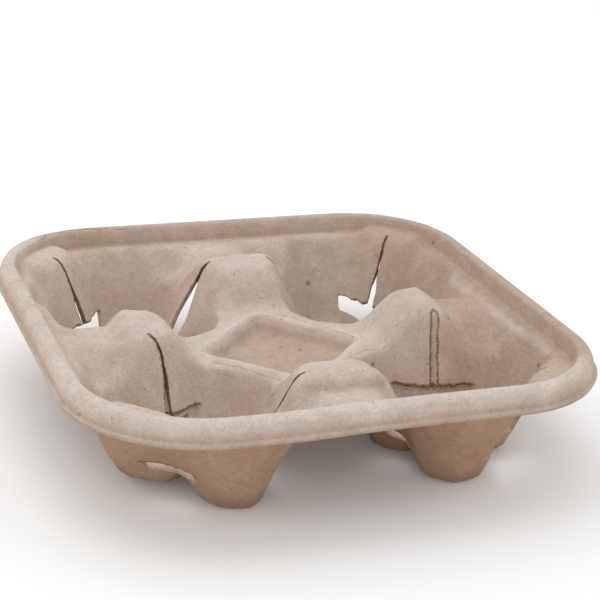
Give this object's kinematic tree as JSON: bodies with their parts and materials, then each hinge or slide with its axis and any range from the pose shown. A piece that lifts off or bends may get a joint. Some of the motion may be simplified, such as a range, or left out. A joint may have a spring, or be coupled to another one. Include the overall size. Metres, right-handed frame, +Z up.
{
  "type": "cup carrier tray",
  "caption": "Square one-piece paper pulp tray with deep slit cup pockets, shallow middle recess and rolled rim, for carrying drinks cups.",
  "frame": {"origin": "centre of the tray on the surface that it stands on", "axes": "+Z up out of the cup pockets; +X and +Y along two sides of the tray; -Y is the near side in the picture"},
  "size_m": [0.215, 0.215, 0.05],
  "materials": {
    "paper_pulp": "matt"
  },
  "bodies": {
    "root": {"cup_tray": "paper_pulp"}
  },
  "joints": []
}
